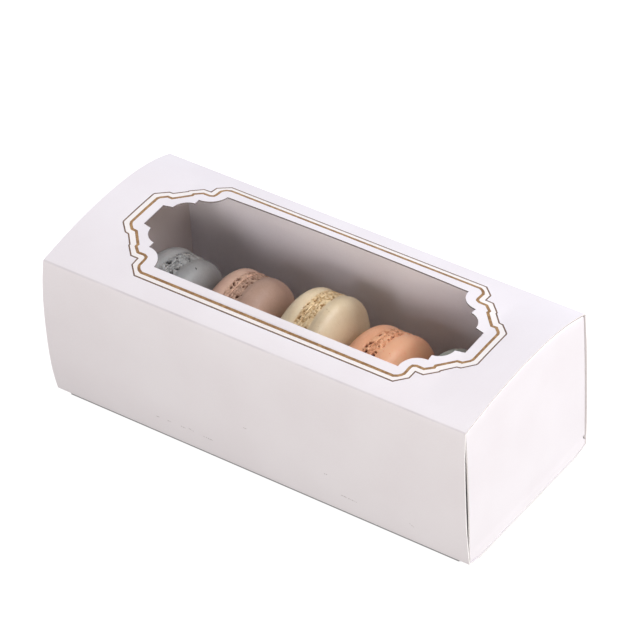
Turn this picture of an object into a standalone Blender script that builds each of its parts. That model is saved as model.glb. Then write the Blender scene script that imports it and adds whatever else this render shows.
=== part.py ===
"""A macaron box: a card sleeve with a shaped window, and a tray of five macarons that slides in it.

Metres, +Z up. The origin is at the middle of the sleeve's footprint, on the surface that it
stands on. The length runs along X, and the tray's end panels lie just inside the sleeve's ends.
"""

import math
import random
from collections import namedtuple

import bmesh
import bpy
from mathutils import Matrix, Vector

MM = 0.001

# Points nearer than this are one point
WELD = 0.01 * MM

# Edges that turn by more than this are drawn sharp on the macarons
SHARP_ANGLE = math.radians(35)

# The card sleeve, measured over its folds
LENGTH = 165.0 * MM
WIDTH = 69.2 * MM
HEIGHT = 54.3 * MM
CARD = 0.5 * MM
FOLD_RADIUS = 1.0 * MM
FOLD_SEGMENTS = 2

# How near a face's normal or an edge's length comes to the X axis or the length to count as one of them
NEARLY = 0.9

# How far each panel bulges past its folds, at the -X end, at mid length and at the +X end
TOP_RISE = (3.3 * MM, 4.5 * MM, 2.1 * MM)
FRONT_BULGE = (2.6 * MM, 1.9 * MM, 1.2 * MM)
BACK_BULGE = (1.0 * MM, 1.0 * MM, 1.0 * MM)
TOP_POWER = 2.2
SIDE_POWER = 2.6
END_SKEW = 0.15

# The top panel flares up past the window's ends, by this much at its -X and +X edges
END_FLARE = (1.6 * MM, 2.4 * MM)
FLARE_START = 0.76

# The bottom panel sags below its folds, and rests on its level middle, this share of its width
BOTTOM_SAG = 1.3 * MM
FLAT_SHARE = 0.805
BOTTOM_POWER = 1.3

# Slices that let the flat panels bend
SLICES_ALONG = 12
SLICES_ACROSS = 10
SLICES_UP = 6

# A quarter of the window, measured from the panel's centre
WINDOW_HALF_LENGTH = 63.0 * MM
WINDOW_HALF_WIDTH = 21.9 * MM
WINDOW_END_HALF = 5.6 * MM
SCALLOP_CENTRE = (54.6 * MM, WINDOW_HALF_WIDTH)
SCALLOP_RADIUS = 7.3 * MM
LOBE_CENTRE = (53.6 * MM, 6.0 * MM)
LOBE_RADIUS = 6.05 * MM
LOBE_START = math.radians(82)
LOBE_END = math.radians(4)
ARC_STEPS = 6
CUTTER_REACH = 10 * MM

# The window is cut a little skew and off the panel's middle: how X changes with Y, and Y with X
WINDOW_SKEW = (-0.042, 0.0034)
WINDOW_SHIFT = (-0.34 * MM, 0.42 * MM)

# The tray
RUNNING_GAP = 0.3 * MM
TOUCH_GAP = 0.3 * MM
TRAY_END_RECESS = 0.1 * MM
END_ROLL = 7.1 * MM
TRAY_RISE = (3.1 * MM, 4.0 * MM)
ROLL_SLIT = 0.4 * MM

# The macarons, all from the side: s runs from the seam outwards along the macaron's axis
FILLING_HALF = 0.5 * MM
FILLING_INSET = 1.4 * MM
FOOT_START = 0.8 * MM
FOOT_END = 2.5 * MM
NECK_AT = 2.8 * MM
RIM_AT = 3.4 * MM
DOME_AT = 4.4 * MM
FOOT_INSET = 0.6 * MM
NECK_INSET = 1.3 * MM
FOOT_RUFFLE = 0.25 * MM
DOME_POWER = 2.5
DOME_STEPS = 7
ROUND_STEPS = 36

# A half is out of round by this share in all, in two waves of this many lobes
OUT_OF_ROUND = 0.010
LOBE_COUNTS = (2, 3)

# The foot's waves: how many, the lobes that each may have, and how far each leans round as it rises
WAVES = 5
WAVE_LOBES = (7, 17)
WAVE_DRIFT = (1, 4)

# Points this near the axis stay where they are
AXIS_CORE = 1.0 * MM

# The foot's waves start this far above its start, and end this far above its neck
FOOT_MARGIN = 0.1 * MM

# x, y: the seam's centre. left, right: each half's height. turn, lean: degrees about Z and Y.
Macaron = namedtuple("Macaron", "name x y radius left right turn lean colour")
MACARONS = (
    Macaron("grey", -58.1 * MM, -2.4 * MM, 20.2 * MM, 11.7 * MM, 12.5 * MM, -1.4, 8.9, (0.27, 0.27, 0.26)),
    Macaron("pink", -29.8 * MM, 0.0 * MM, 20.7 * MM, 10.7 * MM, 13.7 * MM, 1.9, 2.3, (0.58, 0.38, 0.31)),
    Macaron("cream", 1.8 * MM, -1.5 * MM, 23.4 * MM, 11.6 * MM, 10.8 * MM, 4.1, 1.3, (0.80, 0.66, 0.45)),
    Macaron("peach", 27.3 * MM, -1.9 * MM, 21.4 * MM, 11.7 * MM, 11.9 * MM, -0.8, -0.1, (0.80, 0.42, 0.25)),
    Macaron("sage", 56.0 * MM, -1.0 * MM, 22.2 * MM, 13.0 * MM, 13.5 * MM, 2.9, 0.7, (0.38, 0.42, 0.36)),
)

CARD_COLOUR = (0.85, 0.83, 0.83)
CARD_ROUGHNESS = 0.55
FOOD_ROUGHNESS = 0.75
FILLING_SHADE = 0.7


def clear_scene():
    for old in list(bpy.data.objects):
        bpy.data.objects.remove(old, do_unlink=True)


def new_collection(name):
    collection = bpy.data.collections.new(name)
    bpy.context.scene.collection.children.link(collection)
    return collection


def principled(name, colour, roughness):
    material = bpy.data.materials.new(name)
    material.use_nodes = True
    shader = material.node_tree.nodes["Principled BSDF"]
    shader.inputs["Base Color"].default_value = (*colour, 1.0)
    shader.inputs["Roughness"].default_value = roughness
    shader.inputs["Metallic"].default_value = 0.0
    return material


def add_mesh(name, mesh, collection, material=None):
    mesh.name = name
    thing = bpy.data.objects.new(name, mesh)
    collection.objects.link(thing)
    if material:
        mesh.materials.append(material)
    return thing


def as_cutter(thing):
    thing.hide_render = True
    thing.display_type = "WIRE"
    return thing


def cut(thing, cutter):
    boolean = thing.modifiers.new("cut_" + cutter.name, "BOOLEAN")
    boolean.operation = "DIFFERENCE"
    boolean.solver = "EXACT"
    boolean.object = cutter


def through(values, t):
    """The smooth curve through three values, at t = 0, a half and 1."""
    first, middle, last = values
    return first * (1 - t) * (1 - 2 * t) + middle * 4 * t * (1 - t) + last * t * (2 * t - 1)


def bulge(across, power):
    """The share of a panel's bulge, from 1 at its middle to 0 at its folds (across = -1 to 1)."""
    return max(0.0, 1.0 - abs(across) ** power)


def arch(across, skew):
    """The top's cross-section, highest a little behind the middle by the skew."""
    return bulge(across - skew * (1 - across ** 2), TOP_POWER)


def top_rise(along, across):
    """The top panel's height over its folds, from 0 at its -X edge to 1 at its +X edge."""
    outward = 2 * along - 1
    flare = max(0.0, (abs(outward) - FLARE_START) / (1 - FLARE_START))
    middle = through(TOP_RISE, along) + flare * END_FLARE[outward > 0]
    return middle * arch(across, END_SKEW * outward ** 2)


def bottom_sag(across):
    """The bottom panel's depth below its folds, level over the middle of its width."""
    outside = max(0.0, (abs(across) - FLAT_SHARE) / (1 - FLAT_SHARE))
    return BOTTOM_SAG * bulge(outside, BOTTOM_POWER)


def slice_along(bm, axis, half_span, count):
    """Cuts the mesh's faces by evenly spaced planes across one axis."""
    normal = Vector((0, 0, 0))
    normal[axis] = 1.0
    for step in range(1, count):
        point = normal * (half_span * (2 * step / count - 1))
        everything = bm.verts[:] + bm.edges[:] + bm.faces[:]
        bmesh.ops.bisect_plane(bm, geom=everything, plane_co=point, plane_no=normal)


def build_sleeve(parts, cutters, card):
    """An open tube of card with rounded folds, bulging panels and the window in its top."""
    bm = bmesh.new()
    bmesh.ops.create_cube(bm, size=1.0)
    bmesh.ops.scale(bm, vec=(LENGTH, WIDTH, HEIGHT), verts=bm.verts)
    ends = [face for face in bm.faces if abs(face.normal.x) > NEARLY]
    bmesh.ops.delete(bm, geom=ends, context="FACES")
    folds = [edge for edge in bm.edges if edge.calc_length() > LENGTH * NEARLY]
    bmesh.ops.bevel(bm, geom=folds, offset=FOLD_RADIUS, segments=FOLD_SEGMENTS, profile=0.5, affect="EDGES")
    slice_along(bm, 0, LENGTH / 2, SLICES_ALONG)
    slice_along(bm, 1, WIDTH / 2, SLICES_ACROSS)
    slice_along(bm, 2, HEIGHT / 2, SLICES_UP)
    for vertex in bm.verts:
        along = vertex.co.x / LENGTH + 0.5
        across = vertex.co.y / (WIDTH / 2)
        upward = vertex.co.z / (HEIGHT / 2)
        vertex.co.z += top_rise(along, across) if upward > 0 else -bottom_sag(across)
        side = through(BACK_BULGE if across > 0 else FRONT_BULGE, along)
        vertex.co.y += math.copysign(side * bulge(upward, SIDE_POWER), across)
    bmesh.ops.translate(bm, vec=(0, 0, BOTTOM_SAG + HEIGHT / 2), verts=bm.verts)
    mesh = bpy.data.meshes.new("sleeve")
    bm.to_mesh(mesh)
    bm.free()
    sleeve = add_mesh("sleeve", mesh, parts, card)
    thickness = sleeve.modifiers.new("card", "SOLIDIFY")
    thickness.thickness = CARD
    thickness.offset = -1.0
    thickness.use_even_offset = True
    cut(sleeve, window_cutter(cutters))
    return sleeve


def arc(centre, radius, start, end):
    for step in range(ARC_STEPS + 1):
        angle = start + (end - start) * step / ARC_STEPS
        yield centre[0] + radius * math.cos(angle), centre[1] + radius * math.sin(angle)


def window_outline():
    """A plaque: each corner is a scallop bitten in and then a lobe bulging out."""
    quarter = list(arc(SCALLOP_CENTRE, SCALLOP_RADIUS, math.pi, math.pi * 1.5))
    quarter += list(arc(LOBE_CENTRE, LOBE_RADIUS, LOBE_START, LOBE_END))
    quarter.append((WINDOW_HALF_LENGTH, WINDOW_END_HALF))
    right = quarter + [(x, -y) for x, y in reversed(quarter)]
    square = right + [(-x, -y) for x, y in right]
    (skew_x, skew_y), (shift_x, shift_y) = WINDOW_SKEW, WINDOW_SHIFT
    return [(x + skew_x * y + shift_x, y + skew_y * x + shift_y) for x, y in square]


def window_cutter(cutters):
    """The outline as a filled flat curve, made a closed mesh that passes through the top panel."""
    outline = window_outline()
    curve = bpy.data.curves.new("window_outline", "CURVE")
    curve.dimensions = "2D"
    curve.fill_mode = "BOTH"
    curve.extrude = CUTTER_REACH
    spline = curve.splines.new("POLY")
    spline.points.add(len(outline) - 1)
    for point, (x, y) in zip(spline.points, outline):
        point.co = (x, y, 0, 1)
    spline.use_cyclic_u = True
    drawn = bpy.data.objects.new("window_outline", curve)
    drawn.location = (0, 0, BOTTOM_SAG + HEIGHT)
    cutters.objects.link(drawn)
    bpy.context.view_layer.update()
    mesh = bpy.data.meshes.new_from_object(drawn.evaluated_get(bpy.context.evaluated_depsgraph_get()))
    bm = bmesh.new()
    bm.from_mesh(mesh)
    bmesh.ops.remove_doubles(bm, verts=bm.verts, dist=WELD)
    bm.to_mesh(mesh)
    bm.free()
    cutter = as_cutter(add_mesh("window_cutter", mesh, cutters))
    cutter.matrix_world = drawn.matrix_world.copy()
    bpy.data.objects.remove(drawn, do_unlink=True)
    return cutter


def block(name, low, high, collection, rises=None, material=None):
    """A box between two corners. Its top is arched across the width, by rises at its -X and +X ends."""
    bm = bmesh.new()
    bmesh.ops.create_cube(bm, size=1.0)
    size = Vector(high) - Vector(low)
    bmesh.ops.scale(bm, vec=size, verts=bm.verts)
    if rises:
        slice_along(bm, 1, size.y / 2, SLICES_ACROSS)
        for vertex in bm.verts:
            if vertex.co.z > 0:
                vertex.co.z += rises[vertex.co.x > 0] * arch(vertex.co.y / (size.y / 2), END_SKEW)
    bmesh.ops.translate(bm, vec=(Vector(high) + Vector(low)) / 2, verts=bm.verts)
    mesh = bpy.data.meshes.new(name)
    bm.to_mesh(mesh)
    bm.free()
    return add_mesh(name, mesh, collection, material)


def tray_floor():
    """The height of the tray's floor, on its upper face."""
    return BOTTOM_SAG + CARD + RUNNING_GAP + CARD


def build_tray(parts, cutters, card):
    """An open box of card whose two end walls are rolled over and hollow, under an arched top strip."""
    side = WIDTH / 2 - CARD - RUNNING_GAP
    end = LENGTH / 2 - TRAY_END_RECESS
    floor = tray_floor()
    top = BOTTOM_SAG + HEIGHT - CARD - RUNNING_GAP
    tray = block("tray", (-end, -side, floor - CARD), (end, side, top), parts, TRAY_RISE, card)
    inner = end - END_ROLL
    room = block("tray_room", (-inner, CARD - side, floor), (inner, side - CARD, top + CUTTER_REACH), cutters)
    cut(tray, as_cutter(room))
    for name, way in (("left", -1), ("right", 1)):
        near, far = sorted((way * (inner + CARD), way * (end - CARD)))
        hollow = block("roll_hollow_" + name, (near, CARD - side, floor), (far, side - CARD, top - CARD),
                       cutters, (TRAY_RISE[way > 0], TRAY_RISE[way > 0]))
        cut(tray, as_cutter(hollow))
        near, far = sorted((way * (inner - CARD), way * (inner + 2 * CARD)))
        slit = block("roll_slit_" + name, (near, CARD - side, floor), (far, side - CARD, floor + ROLL_SLIT),
                     cutters)
        cut(tray, as_cutter(slit))
    return tray


def shell_profile(radius, height):
    """Half a macaron's outline from the dome's top down to the flat inner face, as (r, s) pairs."""
    points = []
    for step in range(DOME_STEPS):
        angle = math.pi / 2 * step / DOME_STEPS
        rise = math.cos(angle) ** (2 / DOME_POWER)
        reach = math.sin(angle) ** (2 / DOME_POWER)
        points.append((radius * reach, DOME_AT + (height - DOME_AT) * rise))
    points.append((radius, DOME_AT))
    points.append((radius - FOOT_INSET / 2, RIM_AT))
    points.append((radius - NECK_INSET, NECK_AT))
    points.append((radius - FOOT_INSET, FOOT_END))
    points.append((radius - FOOT_INSET / 2, (FOOT_START + FOOT_END) / 2))
    points.append((radius - FOOT_INSET * 1.5, FOOT_START))
    points.append((0.0, FOOT_START))
    return points


def filling_profile(radius):
    edge = radius - FILLING_INSET
    return [(0.0, FILLING_HALF), (edge, FILLING_HALF), (edge + FILLING_HALF, 0.0), (edge, -FILLING_HALF),
            (0.0, -FILLING_HALF)]


def turned(profile, collection):
    """The mesh of a profile turned about Z."""
    mesh = bpy.data.meshes.new("profile")
    mesh.from_pydata([(r, 0.0, s) for r, s in profile], [(i, i + 1) for i in range(len(profile) - 1)], [])
    pattern = bpy.data.objects.new("profile", mesh)
    collection.objects.link(pattern)
    screw = pattern.modifiers.new("turn", "SCREW")
    screw.angle = math.tau
    screw.steps = ROUND_STEPS
    screw.render_steps = ROUND_STEPS
    screw.use_merge_vertices = True
    screw.merge_threshold = WELD
    bpy.context.view_layer.update()
    solid = bpy.data.meshes.new_from_object(pattern.evaluated_get(bpy.context.evaluated_depsgraph_get()))
    bpy.data.objects.remove(pattern, do_unlink=True)
    return solid


def ruffle(mesh, seed):
    """Makes the turned half slightly out of round, and its foot wavy and crumbly."""
    draw = random.Random(seed)
    lobes = [(count, draw.uniform(0, math.tau)) for count in LOBE_COUNTS]
    waves = [(draw.randint(*WAVE_LOBES), draw.uniform(0, math.tau), draw.uniform(*WAVE_DRIFT))
             for _ in range(WAVES)]
    for vertex in mesh.vertices:
        spot = vertex.co
        reach = math.hypot(spot.x, spot.y)
        if reach < AXIS_CORE:
            continue
        angle = math.atan2(spot.y, spot.x)
        swell = 1 + OUT_OF_ROUND * sum(math.cos(count * angle + phase) for count, phase in lobes) / len(lobes)
        on_foot = FOOT_START + FOOT_MARGIN < spot.z < NECK_AT + FOOT_MARGIN
        if on_foot:
            wave = sum(math.sin(count * angle + phase + drift * spot.z / MM) for count, phase, drift in waves)
            swell += FOOT_RUFFLE * wave / reach
        spot.x *= swell
        spot.y *= swell
    mesh.update()


def smooth(thing):
    thing.data.shade_smooth()
    thing.data.set_sharp_from_angle(angle=SHARP_ANGLE)


def build_macaron(kind, seed, parts):
    """Two halves with ruffled feet and the filling between them, on edge on the tray's floor."""
    material = principled("macaron_" + kind.name, kind.colour, FOOD_ROUGHNESS)
    darker = tuple(FILLING_SHADE * value for value in kind.colour)
    filling_material = principled("filling_" + kind.name, darker, FOOD_ROUGHNESS)
    holder = bpy.data.objects.new("place_" + kind.name, None)
    parts.objects.link(holder)
    lay_along_x = Matrix.Rotation(math.radians(90 + kind.lean), 4, "Y")
    holder.matrix_world = Matrix.Rotation(math.radians(kind.turn), 4, "Z") @ lay_along_x
    pieces = []
    for side, height, turn in (("left", kind.left, math.pi), ("right", kind.right, 0.0)):
        mesh = turned(shell_profile(kind.radius, height), parts)
        ruffle(mesh, seed + (side == "right"))
        half = add_mesh("macaron_%s_%s" % (kind.name, side), mesh, parts, material)
        half.rotation_euler = (turn, 0, 0)
        pieces.append(half)
    filling = turned(filling_profile(kind.radius), parts)
    pieces.append(add_mesh("macaron_%s_filling" % kind.name, filling, parts, filling_material))
    for piece in pieces:
        piece.parent = holder
        smooth(piece)
    bpy.context.view_layer.update()
    lowest = min((piece.matrix_world @ v.co).z for piece in pieces for v in piece.data.vertices)
    holder.location = (kind.x, kind.y, tray_floor() + TOUCH_GAP - lowest)
    return pieces


def main():
    clear_scene()
    parts = new_collection("macaron_box")
    cutters = new_collection("cutters")
    sleeve_card = principled("sleeve_card", CARD_COLOUR, CARD_ROUGHNESS)
    tray_card = principled("tray_card", CARD_COLOUR, CARD_ROUGHNESS)
    build_sleeve(parts, cutters, sleeve_card)
    build_tray(parts, cutters, tray_card)
    for index, kind in enumerate(MACARONS):
        build_macaron(kind, 2 * index, parts)
    bpy.context.view_layer.update()


main()
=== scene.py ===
import math
import random
from functools import reduce

import bmesh
import bpy
import numpy as np
from mathutils import Matrix, Vector, geometry, noise


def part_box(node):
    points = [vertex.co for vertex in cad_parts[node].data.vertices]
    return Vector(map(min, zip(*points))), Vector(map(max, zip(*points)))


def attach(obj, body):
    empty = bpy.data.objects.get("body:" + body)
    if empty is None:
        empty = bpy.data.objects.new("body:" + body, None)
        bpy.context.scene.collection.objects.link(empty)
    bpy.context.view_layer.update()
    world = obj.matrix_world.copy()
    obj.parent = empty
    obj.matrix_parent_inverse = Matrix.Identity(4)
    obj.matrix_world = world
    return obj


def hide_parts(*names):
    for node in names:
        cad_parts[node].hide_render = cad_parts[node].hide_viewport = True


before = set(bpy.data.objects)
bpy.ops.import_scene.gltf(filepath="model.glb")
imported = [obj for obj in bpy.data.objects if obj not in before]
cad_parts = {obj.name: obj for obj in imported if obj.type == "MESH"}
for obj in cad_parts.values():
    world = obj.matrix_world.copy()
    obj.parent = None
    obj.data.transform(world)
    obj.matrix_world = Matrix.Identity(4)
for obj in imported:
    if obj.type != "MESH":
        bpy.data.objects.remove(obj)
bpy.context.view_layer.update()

MM = 0.001
TURN = math.tau

# The card sleeve, in the sizes of its solid
LENGTH = 165.0 * MM
WIDTH = 69.2 * MM
HEIGHT = 54.3 * MM
CARD = 0.5 * MM
FOLD_RADIUS = 0.5 * MM
TOP_RISE = (3.3 * MM, 4.5 * MM, 2.1 * MM)
FRONT_BULGE = (2.6 * MM, 1.9 * MM, 1.2 * MM)
BACK_BULGE = (1.0 * MM, 1.0 * MM, 1.0 * MM)
TOP_POWER = 2.2
SIDE_POWER = 2.6
END_SKEW = 0.15
END_FLARE = (1.6 * MM, 2.4 * MM)
FLARE_START = 0.76
BOTTOM_SAG = 1.3 * MM
FLAT_SHARE = 0.805
BOTTOM_POWER = 1.3

# How fine the sleeve's surface is
STEPS_ALONG = 110
STEPS_ACROSS = 44
STEPS_UP = 30
FOLD_STEPS = 5
PRINT_CLEARANCE = 0.35 * MM
WELD = 0.004 * MM
SAME_POINT = 1e-5
SHARP_ANGLE = math.radians(35)

# A quarter of the window, from the panel's centre. Its long edges bow out a little between the scallops
WINDOW_HALF_LENGTH = 63.0 * MM
WINDOW_HALF_WIDTH = 21.9 * MM
WINDOW_END_HALF = 5.6 * MM
WINDOW_BOW = 0.5 * MM
BOW_STEPS = 4
SCALLOP_CENTRE = (54.6 * MM, WINDOW_HALF_WIDTH - WINDOW_BOW)
SCALLOP_RADIUS = 6.95 * MM
LOBE_CENTRE = (53.6 * MM, 6.0 * MM)
LOBE_RADIUS = 6.05 * MM
LOBE_START = math.radians(82)
LOBE_END = math.radians(4)
ARC_STEPS = 16

# The window is cut a little skew and off the panel's middle: how X changes with Y, and Y with X
WINDOW_SKEW = (-0.042, 0.0034)
WINDOW_SHIFT = (-0.24 * MM, 0.47 * MM)

# A quarter of each printed line's middle, in mm from the panel's centre
WIDE_LINE = ((0, 25.27), (49.3, 25.27), (50.6, 24.6), (51.4, 23.75), (51.85, 22.9), (51.86, 22.0), (51.83, 19.88),
             (52.11, 18.83), (53.27, 18.24), (56.01, 18.23), (58.4, 16.1), (58.3, 15.15), (62.95, 10.0),
             (64.73, 9.95), (66.54, 8.19), (67.03, 7.23), (67.03, 0))
FINE_LINE = ((0, 27.29), (50.5, 27.29), (54.2, 23.69), (54.31, 20.49), (57.17, 20.42), (60.83, 16.76),
             (60.79, 16.3), (64.3, 12.43), (65.75, 12.23), (69.21, 8.84), (69.46, 8.26), (69.46, 0))
WIDE_LINE_WIDTH = 1.0 * MM
FINE_LINE_WIDTH = 0.5 * MM
SHARPEST_MITRE = 0.5

# The print lies a little askew too, in mm: each axis has an offset and its shares of x, y and y squared
PRINT_ASKEW_X = (-0.05, 1.0, -0.02, -0.0008)
PRINT_ASKEW_Y = (0.5, 0.0013, 1.0055, 0.0)

# The tray
RUNNING_GAP = 0.3 * MM
TRAY_END_RECESS = 0.1 * MM
END_ROLL = 7.1 * MM
TRAY_RISE = {-1: 3.1 * MM, 1: 4.0 * MM}
CREASE_HEIGHT = 4.2 * MM
CREASE_ROUND = 0.3 * MM
CREASE_SLANT = 0.2 * MM
TRAY_BOW = 0.5 * MM
HANG_SHARE = 0.8
NOTCH_DEPTH = 1.3 * MM
WALL_CUT = 5.0 * MM
CUT_FROM = 8.0 * MM
ROLL_GAP = 0.1 * MM
CORNER_GAP = 0.015 * MM
CLIMB_STEPS = 16
ROLL_STEPS = 6

# The cut card: how much of its thickness is the coat, and how far from the ends an edge belongs to the window
COAT_SHARE = 0.5
WINDOW_MARGIN = 2.0 * MM

# The materials' places in the sleeve's list and in the tray's
OUTSIDE, WIDE_INK, FINE_INK, MARGIN, INSIDE, EDGE, SHADED_CORE, SHADED_WINDOW_EDGE = range(8)
TRAY_OUTSIDE, TRAY_INSIDE, TRAY_EDGE, TRAY_SHADED_CORE, TRAY_END_SHADED = range(5)

# A macaron's half: heights run from the seam outwards along the axis
DOME_AT = 4.4 * MM
DOME_POWER = 2.5
DOME_SHARE = 0.44
EDGE_SHARE = 0.90
OUT_OF_ROUND = 0.010
RIM_DROP = 0.30 * MM
RIM_END = 2.7 * MM
FOOT_FADE = (3.2 * MM, 2.4 * MM)
INNER_FADE = (0.0, 0.15)
FOOT_TOP = 2.75 * MM
FOOT_FULL = 1.4 * MM
FOOT_SWELL = 0.12 * MM
LIP_AT = 1.0 * MM
LIP_END = 0.6 * MM
LIP_DROP = 0.12 * MM
ROUND_STEPS = 680
PROFILE_STEPS = 92

# A foot's froth and burst bubbles, and the dome's waver. The counts are waves or cells to a metre
FROTH_HEIGHT = 0.30 * MM
FROTH_COUNT = 640.0
SWELL_COUNT = 330.0
ROW_AT = 1.95 * MM
ROW_HALF = 0.52 * MM
ROW_FADE = 2.1
ROW_WANDER = 1.5 * MM
WANDER_COUNT = 210.0
SWAY = 1.3 * MM
SWAY_COUNT = 900.0
RAGGED = 0.6
PIT_RIM = (0.28, 0.42)
BREAK_COUNT = 290.0
BREAK_RIM = (0.32, 0.44)
SMALL_BUBBLES = 950.0
SMALL_RIM = (0.16, 0.30)
SMALL_DEPTH = 0.45
SMALL_SHADE = 0.75
FEW_COUNT = 480.0
FEW_RIM = (0.50, 0.60)
DOME_WAVER = 0.10 * MM
DOME_COUNT = 85.0
GRAIN_HEIGHT = 0.03 * MM
GRAIN_COUNT = 800.0
POLE_CALM = 4.0 * MM
TOP_SPREAD = 6.0 * MM
SEED_STEP = 0.05

# The filling
FILLING_HALF = 0.5 * MM
FILLING_RIM_HALF = 0.72 * MM
FILLING_INSET = 0.30 * MM
FILLING_GRIT = 0.26 * MM
GRIT_SIZE = 1.1 * MM
GRIT_SEED_STEP = 7.0
FILLING_SQUARENESS = 0.4
FILLING_LUMPS = ((9, 0.12 * MM), (26, 0.08 * MM))
FILLING_ROUNDS = 520
FILLING_RIM_STEPS = 12
FILLING_FLAT_STEPS = 6
FILLING_WELD = 0.002 * MM

# The camera, solved from the photograph's corners: angles in radians, distance and shift in lengths of the box
AZIMUTH = 0.652568570
ELEVATION = 0.671014673
ROLL = -0.0608381447
DISTANCE = 7.3553435
SHIFT = (-0.0127464, -0.0708481)
FOCAL_PIXELS = 3724.39002
PICTURE_WIDTH = 642
BOX_HEIGHT_SHARE = 0.329061525
SENSOR = 36.0
CLIP = (0.1, 20.0)


def linear(*srgb):
    """Colour on a screen, 0 to 255, as the light that it stands for."""
    shares = [value / 255 for value in srgb]
    return (*(v / 12.92 if v <= 0.04045 else ((v + 0.055) / 1.055) ** 2.4 for v in shares), 1.0)


def grey(light):
    return light, light, light, 1.0


class Value:
    """A number's socket. Arithmetic on it adds Math nodes."""

    def __init__(self, graph, socket):
        self.graph = graph
        self.socket = socket

    def math(self, operation, *values):
        return self.graph.node("ShaderNodeMath", {"operation": operation}, dict(enumerate(values))).value()

    def __add__(self, other):
        return self.math("ADD", self, other)

    def __sub__(self, other):
        return self.math("SUBTRACT", self, other)

    def __rsub__(self, other):
        return self.math("SUBTRACT", other, self)

    def __mul__(self, other):
        return self.math("MULTIPLY", self, other)

    def __pow__(self, other):
        return self.math("POWER", self, other)

    __radd__ = __add__
    __rmul__ = __mul__

    def most(self, other):
        return self.math("MAXIMUM", self, other)

    def below(self, limit):
        return self.math("LESS_THAN", self, limit)

    def size(self):
        return self.math("ABSOLUTE", self)

    def sine(self):
        return self.math("SINE", self)

    def cosine(self):
        return self.math("COSINE", self)

    def ramp(self, low, high):
        """0 at low, 1 at high, smooth between."""
        return self.graph.node("ShaderNodeMapRange", {"interpolation_type": "SMOOTHSTEP"},
                               {"Value": self, "From Min": low, "From Max": high}).value()

    def straight(self, low, high, first=0.0, last=1.0):
        """first at low, last at high, on a straight line between."""
        return self.graph.node("ShaderNodeMapRange", {"interpolation_type": "LINEAR", "clamp": True},
                               {"Value": self, "From Min": low, "From Max": high, "To Min": first,
                                "To Max": last}).value()


class Node:
    """A node that has been made, and its outputs as sockets or as Values."""

    def __init__(self, graph, node):
        self.graph = graph
        self.made = node

    def value(self, name=0):
        return Value(self.graph, self.made.outputs[name])

    def out(self, name=0):
        return self.made.outputs[name]


class Graph:
    """A node tree. Every node comes from node(): its settings, then its values or links."""

    def __init__(self, tree):
        self.tree = tree

    def node(self, kind, settings=None, inputs=None):
        made = self.tree.nodes.new(kind)
        for name, setting in (settings or {}).items():
            setattr(made, name, setting)
        for name, given in (inputs or {}).items():
            self.feed(made.inputs[name], given)
        return Node(self, made)

    def feed(self, socket, given):
        if isinstance(given, Value):
            given = given.socket
        if isinstance(given, bpy.types.NodeSocket):
            self.tree.links.new(given, socket)
        else:
            socket.default_value = given

    def mix(self, factor, first, second, blend="MIX"):
        """Two colours mixed: each a colour or a socket."""
        made = self.node("ShaderNodeMix", {"data_type": "RGBA", "blend_type": blend}, {0: factor, 6: first, 7: second})
        return made.out(2)

    def noise(self, vector, scale, detail=2.0, roughness=0.5):
        return self.node("ShaderNodeTexNoise", {}, {"Vector": vector, "Scale": scale, "Detail": detail,
                                                    "Roughness": roughness}).value("Fac")

    def cells(self, vector, scale):
        return self.node("ShaderNodeTexVoronoi", {}, {"Vector": vector, "Scale": scale}).value("Distance")


class Finish(Graph):
    """A material with one Principled shader."""

    def __init__(self, name, **constants):
        self.material = bpy.data.materials.new(name)
        self.material.use_nodes = True
        super().__init__(self.material.node_tree)
        self.shader = self.tree.nodes["Principled BSDF"]
        for socket, setting in constants.items():
            self.shader.inputs[socket.replace("_", " ")].default_value = setting
        self.place = self.node("ShaderNodeTexCoord").out("Object")

    def axes(self):
        split = self.node("ShaderNodeSeparateXYZ", {}, {"Vector": self.place})
        return split.value("X"), split.value("Y"), split.value("Z")

    def colour(self, given):
        self.feed(self.shader.inputs["Base Color"], given)

    def roughness(self, given):
        self.feed(self.shader.inputs["Roughness"], given)

    def glow(self, given):
        self.feed(self.shader.inputs["Emission Color"], given)

    def waves(self, count, detail=2.0, roughness=0.5):
        """Noise fixed to the piece, with so many waves to a metre."""
        return self.noise(self.place, count, detail, roughness)

    def attribute(self, name):
        return self.node("ShaderNodeAttribute", {"attribute_name": name}).value("Fac")

    def bump(self, height, depth):
        made = self.node("ShaderNodeBump", {}, {"Strength": 1.0, "Distance": depth, "Height": height})
        self.feed(self.shader.inputs["Normal"], made.out("Normal"))


# The card's colours, each where it is lightest and where it is dim, and the inks
CARD_WHITE = linear(243, 240, 244)
CARD_DIM = linear(240, 236, 240)
MARGIN_WHITE = linear(250, 246, 244)
MARGIN_DIM = linear(247, 243, 241)
# Painted shade along the top's folds
PAINTED_FOLD_SHADE = linear(196, 190, 198)
INSIDE_WHITE = linear(243, 240, 243)
INSIDE_DIM = linear(237, 233, 236)
# Painted shade: a darker copy of the inside's card for the tray ends' strip and inner wall
SHADED_END_WHITE = linear(229, 219, 217)
SHADED_END_DIM = linear(222, 211, 208)
EDGE_WHITE = linear(250, 248, 246)
EDGE_DIM = linear(243, 240, 239)
# The board's grey core, made dark enough to also paint the shade line under the top's cut edge
SHADED_CORE_LIGHT = linear(190, 180, 172)
SHADED_CORE_DARK = linear(168, 157, 149)
# The window's cut edge: the board's dark core, drawn darker still as painted shade
SHADED_WINDOW_EDGE_LIGHT = linear(140, 132, 131)
SHADED_WINDOW_EDGE_DARK = linear(110, 103, 103)
BRONZE = linear(146, 111, 75)
BRONZE_LIGHT = linear(180, 143, 98)
BROWN = linear(104, 80, 64)
BROWN_LIGHT = linear(130, 103, 84)
SCUFF_GREY = linear(150, 141, 139)

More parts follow.
